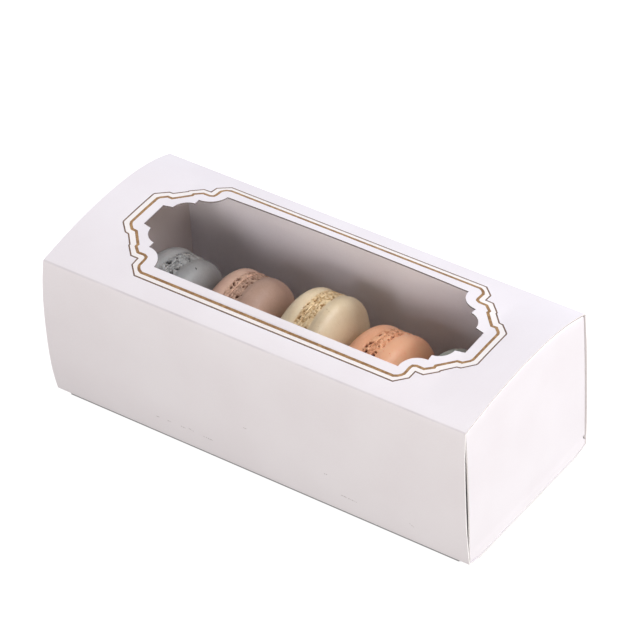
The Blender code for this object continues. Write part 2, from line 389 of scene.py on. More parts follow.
# Scuffs on the front panel, as (x, z, x, z) in mm from its middle and above the ground
SCUFFS = ((-39.5, 9.3, -38.3, 9.3), (-34.6, 9.4, -33.4, 9.4), (-29.1, 9.5, -27.5, 9.3), (-26.1, 10.0, -24.2, 9.5),
          (-20.2, 9.1, -16.5, 9.0), (34.5, 8.9, 40.3, 8.6), (28.6, 15.6, 29.6, 15.7), (-2.6, 21.1, -1.6, 21.1),
          (60.7, 9.3, 62.1, 8.3))
SCUFF_HALF_WIDTH = 0.22 * MM
SCUFF_DEPTH = 2.0 * MM
SCUFF_BREAKS = (0.38, 0.6)
SCUFF_STRENGTH = 0.9

# Painted shade along the top's folds: how far it fades to its sides, and how strong it is
FOLD_SHADE_FADE = (0.15 * MM, 0.62 * MM)
FOLD_SHADE_STRENGTH = (0.2, 0.55)

# Patterns in the card and the ink, as waves to a metre
CLOUD_COUNT = 38.0
FOLD_SHADE_COUNT = 60.0
WAVE_COUNT = 55.0
FIBRE_COUNT = 1900.0
SCUFF_COUNT = 2400.0
TOOTH_COUNT = 2600.0
INK_COUNT = 700.0
EDGE_COUNT = 3200.0

# The values of a noise pattern that count as its low and its high, and those of its middle alone
NOISE_RANGE = (0.3, 0.7)
NOISE_MIDDLE = (0.35, 0.65)
CARD_TONE = (0.34, 0.66)

# Gloss and relief
CARD_ROUGHNESS = 0.5
INSIDE_ROUGHNESS = 0.75
ROUGHNESS_SPREAD = 0.06
INK_ROUGHNESS = (0.36, 0.50)
CARD_RELIEF = 0.12 * MM
INK_RELIEF = 0.01 * MM
EDGE_RELIEF = 0.05 * MM


def card_finish(name, light, dim, roughness, scuffed_and_fold_shaded=False):
    """Coated card: broad clouding, fine fibre, and a faint tooth in the surface; on the outside also real scuffs and
    painted shade along the top's folds.
    """
    finish = Finish(name, Roughness=roughness, Specular_IOR_Level=0.35)
    clouds = finish.waves(CLOUD_COUNT, 3.0)
    fibre = finish.waves(FIBRE_COUNT, 3.0, 0.6)
    tone = (clouds * 0.7 + fibre * 0.3).ramp(*CARD_TONE)
    colour = finish.mix(tone, dim, light)
    if scuffed_and_fold_shaded:
        # Painted shade along the folds, then the real scuffs
        colour = finish.mix(fold_shade_mask(finish), colour, PAINTED_FOLD_SHADE)
        colour = finish.mix(scuff_mask(finish), colour, SCUFF_GREY)
    finish.colour(colour)
    finish.roughness(clouds.straight(*NOISE_RANGE, roughness - ROUGHNESS_SPREAD, roughness + ROUGHNESS_SPREAD))
    tooth = finish.waves(TOOTH_COUNT)
    waves = finish.waves(WAVE_COUNT, 1.0)
    finish.bump(tooth * 0.06 + waves * 0.3, CARD_RELIEF)
    return finish.material


def fold_shade_mask(finish):
    """Painted shade along the top's front and back folds."""
    _, y, z = finish.axes()
    aside = y.size() - WIDTH / 2
    above = z - (BOTTOM_SAG + HEIGHT)
    away = (aside * aside + above * above) ** 0.5
    strength = finish.waves(FOLD_SHADE_COUNT).straight(*NOISE_RANGE, *FOLD_SHADE_STRENGTH)
    return (1 - away.ramp(*FOLD_SHADE_FADE)) * strength


def scuff_mask(finish):
    """Short broken marks on the front panel."""
    x, y, z = finish.axes()
    broken = finish.waves(SCUFF_COUNT).ramp(*SCUFF_BREAKS)
    marks = []
    for scuff in SCUFFS:
        x0, z0, x1, z1 = (value * MM for value in scuff)
        long = math.hypot(x1 - x0, z1 - z0)
        along_x, along_z = (x1 - x0) / long, (z1 - z0) / long
        along = (x - x0) * along_x + (z - z0) * along_z
        aside = ((z - z0) * along_x - (x - x0) * along_z).size()
        past = (along - long / 2).size() - long / 2
        marks.append(1 - aside.most(past).ramp(0.0, SCUFF_HALF_WIDTH))
    front = 1 - y.ramp(-WIDTH / 2, -WIDTH / 2 + SCUFF_DEPTH)
    return reduce(Value.most, marks) * broken * front * SCUFF_STRENGTH


def ink_finish(name, dark, light):
    """Printed ink: slightly uneven cover on the card's tooth."""
    finish = Finish(name, Specular_IOR_Level=0.5)
    cover = finish.waves(INK_COUNT, 3.0, 0.6).ramp(*NOISE_MIDDLE)
    finish.colour(finish.mix(cover, dark, light))
    finish.roughness(cover.straight(0, 1, *INK_ROUGHNESS))
    finish.bump(finish.waves(TOOTH_COUNT), INK_RELIEF)
    return finish.material


def edge_finish(name, dark, light):
    """The cut edge of the card: the fibres across its thickness."""
    finish = Finish(name, Roughness=0.85, Specular_IOR_Level=0.2)
    fibre = finish.waves(EDGE_COUNT, 3.0, 0.7)
    finish.colour(finish.mix(fibre.ramp(*NOISE_RANGE), dark, light))
    finish.bump(fibre, EDGE_RELIEF)
    return finish.material


def through(values, t):
    """The smooth curve through three values, at t = 0, a half and 1."""
    first, middle, last = values
    return first * (1 - t) * (1 - 2 * t) + middle * 4 * t * (1 - t) + last * t * (2 * t - 1)


def bulge(across, power):
    """A panel's curve: 1 at its middle, 0 at across = -1 and 1, and flatter in the middle the higher the power."""
    return max(0.0, 1.0 - abs(across) ** power)


def arch(across, skew):
    return bulge(across - skew * (1 - across ** 2), TOP_POWER)


def top_rise(along, across):
    outward = 2 * along - 1
    flare = max(0.0, (abs(outward) - FLARE_START) / (1 - FLARE_START))
    middle = through(TOP_RISE, along) + flare * END_FLARE[int(outward > 0)]
    return middle * arch(across, END_SKEW * outward ** 2)


def bottom_sag(across):
    outside = max(0.0, (abs(across) - FLAT_SHARE) / (1 - FLAT_SHARE))
    return BOTTOM_SAG * bulge(outside, BOTTOM_POWER)


def on_sleeve(x, y, z):
    """A point of the flat-sided box, z from its middle, moved onto the bulging sleeve."""
    along = x / LENGTH + 0.5
    across = max(-1.0, min(1.0, y / (WIDTH / 2)))
    upward = max(-1.0, min(1.0, z / (HEIGHT / 2)))
    lift = top_rise(along, across) if z > 0 else -bottom_sag(across)
    side = through(BACK_BULGE if y > 0 else FRONT_BULGE, along)
    return Vector((x, y + math.copysign(side * bulge(upward, SIDE_POWER), y), z + lift + BOTTOM_SAG + HEIGHT / 2))


def window_outline():
    """A plaque: each corner is a scallop bitten in and then a lobe bulging out."""
    reach = SCALLOP_CENTRE[0] - SCALLOP_RADIUS
    quarter = [(reach * step / BOW_STEPS, WINDOW_HALF_WIDTH - WINDOW_BOW * (step / BOW_STEPS) ** 2)
               for step in range(BOW_STEPS)]
    quarter += list(arc(SCALLOP_CENTRE, SCALLOP_RADIUS, math.pi, math.pi * 1.5))
    quarter += list(arc(LOBE_CENTRE, LOBE_RADIUS, LOBE_START, LOBE_END))
    quarter.append((WINDOW_HALF_LENGTH, WINDOW_END_HALF))
    (skew_x, skew_y), (shift_x, shift_y) = WINDOW_SKEW, WINDOW_SHIFT
    return [(x + skew_x * y + shift_x, y + skew_y * x + shift_y) for x, y in mirrored(quarter)]


def arc(centre, radius, start, end):
    for step in range(ARC_STEPS + 1):
        angle = start + (end - start) * step / ARC_STEPS
        yield centre[0] + radius * math.cos(angle), centre[1] + radius * math.sin(angle)


def mirrored(quarter):
    """A closed outline from its quarter, without doubled points on the axes."""
    right = quarter + [(x, -y) for x, y in reversed(quarter) if y > 0]
    return right + [(-x, -y) for x, y in right if x > 0]


def askew(shares, x, y):
    offset, by_x, by_y, by_square = shares
    return (offset + by_x * x + by_y * y + by_square * y ** 2) * MM


def printed_loop(quarter, aside):
    """The edge of a printed line: its middle moved sideways by aside, with mitred corners."""
    straight = mirrored([(x, y) for x, y in quarter if x > 0])
    middle = [(askew(PRINT_ASKEW_X, x, y), askew(PRINT_ASKEW_Y, x, y)) for x, y in straight]
    count = len(middle)
    moved = []
    for index in range(count):
        before, here, after = (Vector(middle[(index + step) % count]) for step in (-1, 0, 1))
        first = (here - before).normalized()
        second = (after - here).normalized()
        out = (Vector((-first.y, first.x)) + Vector((-second.y, second.x))).normalized()
        share = max(SHARPEST_MITRE, out.dot(Vector((-first.y, first.x))))
        moved.append(tuple(here + out * aside / share))
    return moved


def is_within(loop, x, y):
    """For arrays x and y: whether each point lies within the closed loop."""
    within = np.zeros(len(x), bool)
    for (x0, y0), (x1, y1) in zip(loop, loop[1:] + loop[:1]):
        if y0 != y1:
            crosses = (y0 > y) != (y1 > y)
            within ^= crosses & (x < (x1 - x0) * (y - y0) / (y1 - y0) + x0)
    return within


def clear_of(loop, x, y, distance):
    """For arrays x and y: whether each point keeps this distance from the loop."""
    clear = np.ones(len(x), bool)
    for (x0, y0), (x1, y1) in zip(loop, loop[1:] + loop[:1]):
        long = (x1 - x0) ** 2 + (y1 - y0) ** 2
        share = np.clip(((x - x0) * (x1 - x0) + (y - y0) * (y1 - y0)) / long, 0, 1)
        clear &= np.hypot(x - x0 - share * (x1 - x0), y - y0 - share * (y1 - y0)) > distance
    return clear


def top_panel():
    """The flat top panel as triangles, each with its material: (points, triangles, materials)."""
    window = window_outline()
    loops = [window] + [printed_loop(line, way * width / 2)
                        for line, width in ((WIDE_LINE, WIDE_LINE_WIDTH), (FINE_LINE, FINE_LINE_WIDTH))
                        for way in (-1, 1)]
    half = WIDTH / 2 - FOLD_RADIUS
    xs = np.linspace(-LENGTH / 2, LENGTH / 2, STEPS_ALONG + 1)
    ys = np.linspace(-half, half, STEPS_ACROSS + 1)
    grid_x, grid_y = (part.ravel() for part in np.meshgrid(xs, ys, indexing="ij"))
    keep = ~is_within(window, grid_x, grid_y)
    for loop in loops:
        keep &= clear_of(loop, grid_x, grid_y, PRINT_CLEARANCE)
    points = [(x / MM, y / MM) for x, y in zip(grid_x[keep], grid_y[keep])]
    edges = []
    for loop in loops:
        start = len(points)
        points += [(x / MM, y / MM) for x, y in loop]
        edges += [(start + step, start + (step + 1) % len(loop)) for step in range(len(loop))]
    made = geometry.delaunay_2d_cdt([Vector(point) for point in points], edges, [], 0, SAME_POINT)
    corners = np.array([tuple(point) for point in made[0]]) * MM
    triangles = np.array([tuple(face) for face in made[2]])
    middle = corners[triangles].mean(axis=1)
    within = [is_within(loop, middle[:, 0], middle[:, 1]) for loop in loops]
    margin = within[3] & within[4] & ~(within[1] | within[2])
    plain = np.where(margin, MARGIN, OUTSIDE)
    materials = np.where(within[1] ^ within[2], WIDE_INK, np.where(within[3] ^ within[4], FINE_INK, plain))
    kept = ~within[0]
    return corners, triangles[kept], materials[kept]


def sleeve_ring():
    """The flat-sided box's cross-section without its top panel, from the top's +Y edge round to its -Y edge."""
    half_y, half_z = WIDTH / 2 - FOLD_RADIUS, HEIGHT / 2 - FOLD_RADIUS
    ring = []
    for way_y, way_z, start, steps in ((1, 1, 90, STEPS_UP), (1, -1, 0, STEPS_ACROSS), (-1, -1, -90, STEPS_UP),
                                       (-1, 1, -180, 0)):
        ring += list(fold((way_y * half_y, way_z * half_z), start, start - 90))
        y0, z0 = ring[-1]
        y1, z1 = (y0, -z0) if steps == STEPS_UP else (-y0, z0)
        ring += [(y0 + (y1 - y0) * step / steps, z0 + (z1 - z0) * step / steps) for step in range(1, steps)]
    return ring


def thickened(bm, inside, edge, core, window=None):
    """Gives an open surface the card's thickness inwards, with materials for its inner side and its cut edges.

    A cut edge shows the coat, in the material edge, and along the top its core too: the board's darker core, darkened
    further as painted shade under the top's cut edge. Where window is given, it is the material of the whole of an
    edge that lies away from the ends: the board's dark core with painted shade at the window's cut edges.
    """
    bm.normal_update()
    outer = list(bm.verts)
    faces = list(bm.faces)
    rims = [rim for rim in bm.edges if len(rim.link_faces) == 1]
    inner = {vertex: bm.verts.new(vertex.co - vertex.normal * CARD) for vertex in outer}
    rim_vertices = {vertex for rim in rims for vertex in rim.verts}
    middle = {vertex: bm.verts.new(vertex.co - vertex.normal * CARD * COAT_SHARE) for vertex in outer
              if vertex in rim_vertices}
    for face in faces:
        bm.faces.new([inner[vertex] for vertex in reversed(face.verts)]).material_index = inside
    for rim in rims:
        face = rim.link_faces[0]
        first, second = rim.verts
        loop = next(l for l in face.loops if l.edge == rim)
        if loop.vert == first:
            first, second = second, first
        at_window = window is not None and abs(first.co.x) < LENGTH / 2 - WINDOW_MARGIN
        low = min(first.co.z, second.co.z) < BOTTOM_SAG + HEIGHT - FOLD_RADIUS
        outer_half = bm.faces.new([first, second, middle[second], middle[first]])
        inner_half = bm.faces.new([middle[first], middle[second], inner[second], inner[first]])
        # At the window both halves of the cut edge take the painted shade
        outer_half.material_index = window if at_window else edge
        # Along the top the inner half shows the core, darkened as painted shade under the cut edge
        inner_half.material_index = window if at_window else edge if low else core


def finished(name, bm, materials):
    """The mesh as an object in the scene, smooth but for its folds and cut edges."""
    mesh = bpy.data.meshes.new(name)
    bm.to_mesh(mesh)
    bm.free()
    for material in materials:
        mesh.materials.append(material)
    mesh.shade_smooth()
    mesh.set_sharp_from_angle(angle=SHARP_ANGLE)
    piece = bpy.data.objects.new(name, mesh)
    bpy.context.scene.collection.objects.link(piece)
    return piece


def make_sleeve(materials):
    """The card sleeve: outer card, both printed lines, inner card and cut edges, in one closed mesh."""
    bm = bmesh.new()
    corners, triangles, inks = top_panel()
    top = [bm.verts.new(on_sleeve(x, y, HEIGHT / 2)) for x, y in corners]
    for triangle, ink in zip(triangles, inks):
        bm.faces.new([top[index] for index in triangle]).material_index = int(ink)
    ring = sleeve_ring()
    xs = np.linspace(-LENGTH / 2, LENGTH / 2, STEPS_ALONG + 1)
    rows = [[bm.verts.new(on_sleeve(x, y, z)) for y, z in ring] for x in xs]
    for row, following in zip(rows, rows[1:]):
        for step in range(len(ring) - 1):
            bm.faces.new([row[step], row[step + 1], following[step + 1], following[step]])
    bmesh.ops.remove_doubles(bm, verts=bm.verts, dist=WELD)
    bmesh.ops.recalc_face_normals(bm, faces=bm.faces)
    if sum(face.normal.z * face.calc_area() for face in bm.faces if face.calc_center_median().z > HEIGHT) < 0:
        bmesh.ops.reverse_faces(bm, faces=bm.faces)
    thickened(bm, INSIDE, EDGE, SHADED_CORE, SHADED_WINDOW_EDGE)
    return finished("card_sleeve", bm, materials)


def card_sheet(name, rows, materials):
    """A folded card piece: a grid of points on its outer face, made as thick as the card."""
    bm = bmesh.new()
    made = [[bm.verts.new(point) for point in row] for row in rows]
    for row, following in zip(made, made[1:]):
        for step in range(len(row) - 1):
            bm.faces.new([row[step], following[step], following[step + 1], row[step + 1]])
    thickened(bm, TRAY_INSIDE, TRAY_EDGE, TRAY_SHADED_CORE)
    return finished(name, bm, materials)


TRAY_SIDE = WIDTH / 2 - CARD - RUNNING_GAP
TRAY_END = LENGTH / 2 - TRAY_END_RECESS
TRAY_BOTTOM = BOTTOM_SAG + CARD + RUNNING_GAP
TRAY_TOP = BOTTOM_SAG + HEIGHT - CARD - RUNNING_GAP


def fold(centre, start, end):
    """The points round a fold, in the plane of its section."""
    for step in range(FOLD_STEPS + 1):
        angle = math.radians(start + (end - start) * step / FOLD_STEPS)
        yield centre[0] + FOLD_RADIUS * math.cos(angle), centre[1] + FOLD_RADIUS * math.sin(angle)


def side_curve(z):
    """A side panel's curve: 1 at its middle and 0 at its folds."""
    return bulge((z - BOTTOM_SAG) / (HEIGHT / 2) - 1, SIDE_POWER)


def tray_bow(x, z):
    """How far back the tray's walls stand, most of all at their middle towards the right end."""
    return TRAY_BOW * max(0.0, 2 * x / LENGTH) * side_curve(z)


def wall_cut(x, y, z, reach):
    """How far the front wall is cut back at the right end, in a curve."""
    near = max(0.0, 1 - (reach - x) / CUT_FROM) if y <= -TRAY_SIDE else 0.0
    return WALL_CUT * near * side_curve(z)


def make_tray_trough(materials):
    """The tray's floor and side walls, folded from one card."""
    low = TRAY_BOTTOM + FOLD_RADIUS
    side = TRAY_SIDE - FOLD_RADIUS
    section = [(-TRAY_SIDE, TRAY_TOP - (TRAY_TOP - low) * step / STEPS_UP) for step in range(STEPS_UP)]
    section += list(fold((-side, low), 180, 270))
    section += [(side * (2 * step / STEPS_ACROSS - 1), TRAY_BOTTOM) for step in range(1, STEPS_ACROSS)]
    section += list(fold((side, low), 270, 360))
    section += [(TRAY_SIDE, low + (TRAY_TOP - low) * (step + 1) / STEPS_UP) for step in range(STEPS_UP)]
    reach = TRAY_END - CREASE_SLANT - CARD - ROLL_GAP / 2
    roll = TRAY_END - END_ROLL
    xs = sorted(set(np.linspace(-reach, reach, STEPS_ALONG + 1)) | {-roll - ROLL_GAP, -roll, roll, roll + ROLL_GAP})
    rows = []
    for x in xs:
        ceiling = TRAY_TOP if abs(x) <= roll else TRAY_TOP - CARD - ROLL_GAP
        rows.append([Vector((x - wall_cut(x, y, z, reach), y + tray_bow(x, z), min(z, ceiling)))
                     for y, z in section])
    rows.reverse()
    return card_sheet("tray_trough", rows, materials)


def make_tray_end(name, way, materials):
    """An end wall: a panel up the outside, over an arched top strip and down the inside.

    Each point of its path is x, a height, its share of the rest of the way up to the arch, and a height over that.
    """
    outer, inner = TRAY_END - CREASE_SLANT, TRAY_END - END_ROLL
    crease = BOTTOM_SAG + CREASE_HEIGHT
    radius = FOLD_RADIUS
    path = []
    for z in (TRAY_BOTTOM, (TRAY_BOTTOM + crease) / 2, crease - CREASE_ROUND, crease, crease + CREASE_ROUND):
        slant = CREASE_SLANT * max(0.0, (crease - z) / (crease - TRAY_BOTTOM))
        path.append((outer + slant, z, 0.0, 0.0))
    path += [(outer, crease + CREASE_ROUND, step / CLIMB_STEPS, 0.0) for step in range(1, CLIMB_STEPS)]
    path += [(x, 0.0, 1.0, z) for x, z in fold((outer - radius, 0.0), 0, 90)]
    strip = outer - inner - 2 * radius
    path += [(outer - radius - strip * step / ROLL_STEPS, 0.0, 1.0, radius) for step in range(1, ROLL_STEPS)]
    path += [(x, 0.0, 1.0, z) for x, z in fold((inner + radius, 0.0), 90, 180)]
    bottom = TRAY_BOTTOM + CARD + ROLL_GAP
    path += [(inner, bottom, 1 - step / CLIMB_STEPS, 0.0) for step in range(1, CLIMB_STEPS + 1)]
    rows = []
    for index in range(STEPS_ACROSS + 1):
        across = 2 * index / STEPS_ACROSS - 1
        peak = TRAY_TOP + TRAY_RISE[way] * arch(across, END_SKEW) - radius
        row = []
        for x, base, share, over in path:
            narrow = TRAY_SIDE - CARD - CORNER_GAP if x < inner + radius / 2 else TRAY_SIDE
            z = base + (peak - base) * share + over
            if x > outer:
                z -= HANG_SHARE * bottom_sag(across) * (x - outer) / CREASE_SLANT
            notched = way > 0 and across == 1 and abs(z - crease + CREASE_ROUND / 2) < CREASE_ROUND
            row.append(Vector((way * x, narrow * across + tray_bow(way * x, z) - NOTCH_DEPTH * notched, z)))
        rows.append(row)
    if way < 0:
        rows.reverse()
    piece = card_sheet(name, rows, materials)

    # The strip and the inner wall get a darker, warmer copy of the inside's card, painted shade on the end's inner
    # side, although they are on the card's outer face
    for face in piece.data.polygons:
        if face.material_index == TRAY_OUTSIDE and abs(face.center.x) < inner + ROLL_GAP:
            face.material_index = TRAY_END_SHADED
    return piece


# The macarons: sizes in mm, turn and lean in degrees, and the seeds that their solids have
MACARONS = {
    "grey": dict(radius=20.2, left=11.7, right=12.5, turn=-1.4, lean=8.9, seed=0),
    "pink": dict(radius=20.7, left=10.7, right=13.7, turn=1.9, lean=2.3, seed=2),
    "cream": dict(radius=23.4, left=11.6, right=10.8, turn=4.1, lean=1.3, seed=4),
    "peach": dict(radius=21.4, left=11.7, right=11.9, turn=-0.8, lean=-0.1, seed=6),
    "sage": dict(radius=22.2, left=13.0, right=13.5, turn=2.9, lean=0.7, seed=8),
}

# Each shell's colours on a screen: the dome where it is light and dim, the foot's crests and troughs as painted
# highlight and painted shade, and the pits as painted shade, a colour that the dome's real specks share
SHELLS = {
    "grey": ((180, 181, 180), (170, 171, 170), (188, 189, 187), (146, 146, 145), (44, 44, 46)),
    "pink": ((212, 178, 158), (202, 167, 147), (219, 181, 157), (174, 136, 115), (104, 68, 52)),
    "cream": ((229, 211, 179), (221, 201, 166), (236, 211, 168), (194, 158, 110), (160, 122, 72)),
    "peach": ((251, 189, 150), (243, 177, 137), (254, 194, 152), (218, 146, 106), (112, 50, 34)),
    "sage": ((190, 196, 184), (176, 182, 170), (194, 198, 184), (160, 163, 150), (98, 100, 88)),
}

# Painted light and shade: how much lighter or darker each half is painted beside its macaron's colours, for the light
# that falls on it
HALF_PAINTED_LIGHT = {"pink_left": 1.22, "pink_right": 0.9, "cream_left": 1.08, "peach_left": 1.03, "peach_right": 1.22,
              "grey_right": 0.93}

# How many burst bubbles fit along a metre of each foot, and how deep they are
BUBBLES = {"grey": 390.0, "pink": 680.0, "cream": 640.0, "peach": 580.0, "sage": 520.0}
PIT_DEPTHS = {"grey": 1.0 * MM, "pink": 0.9 * MM, "cream": 0.6 * MM, "peach": 1.0 * MM, "sage": 1.0 * MM}


def macaron_tree():
    """Half a macaron by rule: a turned profile, a little out of round, with a frothy foot and burst bubbles."""
    tree = bpy.data.node_groups.new("macaron_half", "GeometryNodeTree")
    face = tree.interface
    for kind, names in (("Geometry", ["Geometry"]),
                        ("Float", ["Radius", "Height", "Phase two", "Phase three", "Seed", "Froth", "Pit depth",
                                   "Dome waver", "Bubbles", "Painted light"]),
                        ("Vector", ["Rotation", "Place"]), ("Material", ["Material"])):
        for name in names:
            face.new_socket(name, in_out="INPUT", socket_type="NodeSocket" + kind)
    face.new_socket("Geometry", in_out="OUTPUT", socket_type="NodeSocketGeometry")
    g = Graph(tree)
    given = g.node("NodeGroupInput")
    radius, height, froth_height = given.value("Radius"), given.value("Height"), given.value("Froth")
    seed = given.value("Seed") * SEED_STEP

    grid = g.node("GeometryNodeMeshGrid", {}, {"Size X": 1.0, "Size Y": 1.0, "Vertices X": ROUND_STEPS + 1,
                                              "Vertices Y": PROFILE_STEPS + 1})
    spot = g.node("ShaderNodeSeparateXYZ", {}, {"Vector": g.node("GeometryNodeInputPosition").out()})
    angle = (spot.value("X") + 0.5) * TURN
    down = spot.value("Y") + 0.5

    # Down the profile: the dome, then its rim and the foot, then the flat inner face
    quarter = down.straight(0.0, DOME_SHARE) * (math.pi / 2)
    dome_r = (quarter.sine().most(0.0) ** (2 / DOME_POWER)) * radius
    dome_s = DOME_AT + (height - DOME_AT) * (quarter.cosine().most(0.0) ** (2 / DOME_POWER))
    on_dome = down.below(DOME_SHARE)
    s = DOME_AT - down.straight(DOME_SHARE, EDGE_SHARE) * (DOME_AT - LIP_END)
    rim = s.ramp(DOME_AT, RIM_END) * RIM_DROP
    swell = s.ramp(FOOT_TOP, FOOT_FULL) * FOOT_SWELL
    lip = s.ramp(LIP_AT, LIP_END) * LIP_DROP
    inner = down.straight(EDGE_SHARE, 1.0)
    edge_r = (radius - rim + swell - lip) * (1 - inner)
    plain_r = on_dome * dome_r + (1 - on_dome) * edge_r
    plain_s = on_dome * dome_s + (1 - on_dome) * s

    out_of_round = 1 + ((angle * 2 + given.value("Phase two")).cosine()
                        + (angle * 3 + given.value("Phase three")).cosine()) * (OUT_OF_ROUND / 2)

    def turned(r, z):
        return g.node("ShaderNodeCombineXYZ", {}, {"X": angle.cosine() * r, "Y": angle.sine() * r, "Z": z}).out()

    around = turned(radius, plain_s + seed)
    over = turned(plain_r, plain_s + seed)

    # The foot: froth, a broken row of burst bubbles under the rim, and a few smaller ones below it
    on_foot = plain_s.ramp(*FOOT_FADE) * (1 - inner.ramp(*INNER_FADE))
    wander = (g.noise(around, WANDER_COUNT, 1.0) - 0.5) * ROW_WANDER
    in_row = 1 - (plain_s - ROW_AT + wander).size().ramp(ROW_HALF, ROW_HALF * ROW_FADE)
    froth = g.noise(around, FROTH_COUNT, 3.0, 0.62)
    wave = g.noise(around, SWELL_COUNT, 1.0)
    ragged = (froth - 0.5) * RAGGED
    sway = g.node("ShaderNodeTexNoise", {}, {"Vector": around, "Scale": SWAY_COUNT, "Detail": 1.0}).out("Color")
    swayed = g.node("ShaderNodeVectorMath", {"operation": "MULTIPLY_ADD"},
                    {0: sway, 1: (SWAY, SWAY, SWAY), 2: around}).out("Vector")
    holes = g.cells(swayed, given.value("Bubbles")) + ragged
    small = g.cells(swayed, SMALL_BUBBLES) + ragged
    broken = g.noise(around, BREAK_COUNT).ramp(*BREAK_RIM)
    few = g.noise(around, FEW_COUNT, 1.0).ramp(*FEW_RIM)
    pit = (1 - holes.ramp(*PIT_RIM)) * broken * in_row
    bubble = (1 - small.ramp(*SMALL_RIM)) * few * on_foot
    waver = (g.noise(over, DOME_COUNT) - 0.5) * given.value("Dome waver") * 2
    grain = (g.noise(over, GRAIN_COUNT) - 0.5) * GRAIN_HEIGHT

    crest = ((froth - 0.5) * 2 + (wave - 0.5)) * on_foot
    out = (crest * froth_height - pit.most(bubble * SMALL_DEPTH) * given.value("Pit depth")
           + (waver + grain) * (1 - on_foot) * (1 - inner))
    final_r = (plain_r * out_of_round + out * plain_r.ramp(0.0, POLE_CALM)).most(0.0)
    top = 1 - plain_r.ramp(0.0, TOP_SPREAD)
    final_s = plain_s + crest * froth_height * 0.5 * (1 - inner) + waver * top * on_dome
    geometry = grid.out("Mesh")
    # The stored tone is each half's painted light and shade
    for name, value in (("pit", pit.most(bubble * SMALL_SHADE)), ("foot", on_foot), ("crest", crest * 0.5 + 0.5),
                        ("tone", given.value("Painted light"))):
        stored = g.node("GeometryNodeStoreNamedAttribute", {"data_type": "FLOAT", "domain": "POINT"},
                        {"Geometry": geometry, "Name": name, "Value": value})
        geometry = stored.out("Geometry")
    for kind, inputs in (("SetPosition", {"Position": turned(final_r, final_s.most(LIP_END))}),
                         ("MergeByDistance", {"Distance": WELD}),
                         ("Transform", {"Rotation": given.out("Rotation"), "Translation": given.out("Place")}),
                         ("SetShadeSmooth", {"Shade Smooth": True}), ("RealizeInstances", {}),
                         ("SetMaterial", {"Material": given.out("Material")})):
        geometry = g.node("GeometryNode" + kind, {}, {"Geometry": geometry, **inputs}).out("Geometry")
    g.node("NodeGroupOutput", {}, {"Geometry": geometry})
    return tree


def grown(name, tree, inputs):
    """The plain mesh that a tree makes from its named inputs."""
    holder = bpy.data.objects.new(name, bpy.data.meshes.new(name))
    bpy.context.scene.collection.objects.link(holder)
    modifier = holder.modifiers.new("grow", "NODES")
    modifier.node_group = tree
    identifiers = {item.name: item.identifier for item in tree.interface.items_tree if item.in_out == "INPUT"}
    for key, given in inputs.items():
        modifier[identifiers[key]] = given
    bpy.context.view_layer.update()
    mesh = bpy.data.meshes.new_from_object(holder.evaluated_get(bpy.context.evaluated_depsgraph_get()))
    holder.modifiers.clear()
    holder.data = mesh
    mesh.name = name
    bm = bmesh.new()
    bm.from_mesh(mesh)
    bmesh.ops.recalc_face_normals(bm, faces=bm.faces)
    bm.to_mesh(mesh)
    bm.free()
    return holder


# Crumbs and chips on the domes: place and radius in mm, and strength
SPECKS = {
    "grey": ((-48.5, 1.8, 41.9, 0.42, 0.9), (-48.1, 1.5, 41.8, 0.25, 0.9)),
    "pink": ((-23.7, -0.6, 44.3, 0.22, 0.4),),
    "cream": ((6.9, -1.2, 49.8, 0.40, 0.3), (8.0, -1.5, 49.6, 0.30, 0.3)),
    "peach": ((31.3, -4.7, 45.5, 0.26, 0.4), (33.5, -4.5, 45.3, 0.24, 0.4), (34.2, -5.0, 44.9, 0.18, 0.3),
              (36.0, 0.3, 43.2, 0.2, 0.4), (34.7, -1.0, 44.8, 0.18, 0.3)),
}

# Patterns in the shells and fillings, as waves or cells to a metre
SHELL_CLOUDS = 130.0
SHELL_GRAIN = 1500.0
SHELL_DOTS = 420.0
DOT_PATCHES = 120.0
SPECK_EDGES = 2600.0
FILLING_FROTH = 760.0
FILLING_HOLLOWS = 1000.0
HOLLOW_PATCHES = 420.0

# Where those patterns begin and end, and how strongly they show
SHELL_TONE = (0.36, 0.64)
CREST_TONE = (0.36, 0.60)
DOT_RIM = (0.05, 0.10)
DOT_CHOICE = (0.54, 0.58)
HOLLOW_RIM = (0.14, 0.30)
HOLLOW_CHOICE = (0.46, 0.56)
DOT_STRENGTH = 0.35
HOLLOW_STRENGTH = 0.8
SHELL_ROUGHNESS = (0.5, 0.4)
FOOT_ROUGHER = 0.25
SHELL_RELIEF = 0.05 * MM
FILLING_RELIEF = 0.25 * MM


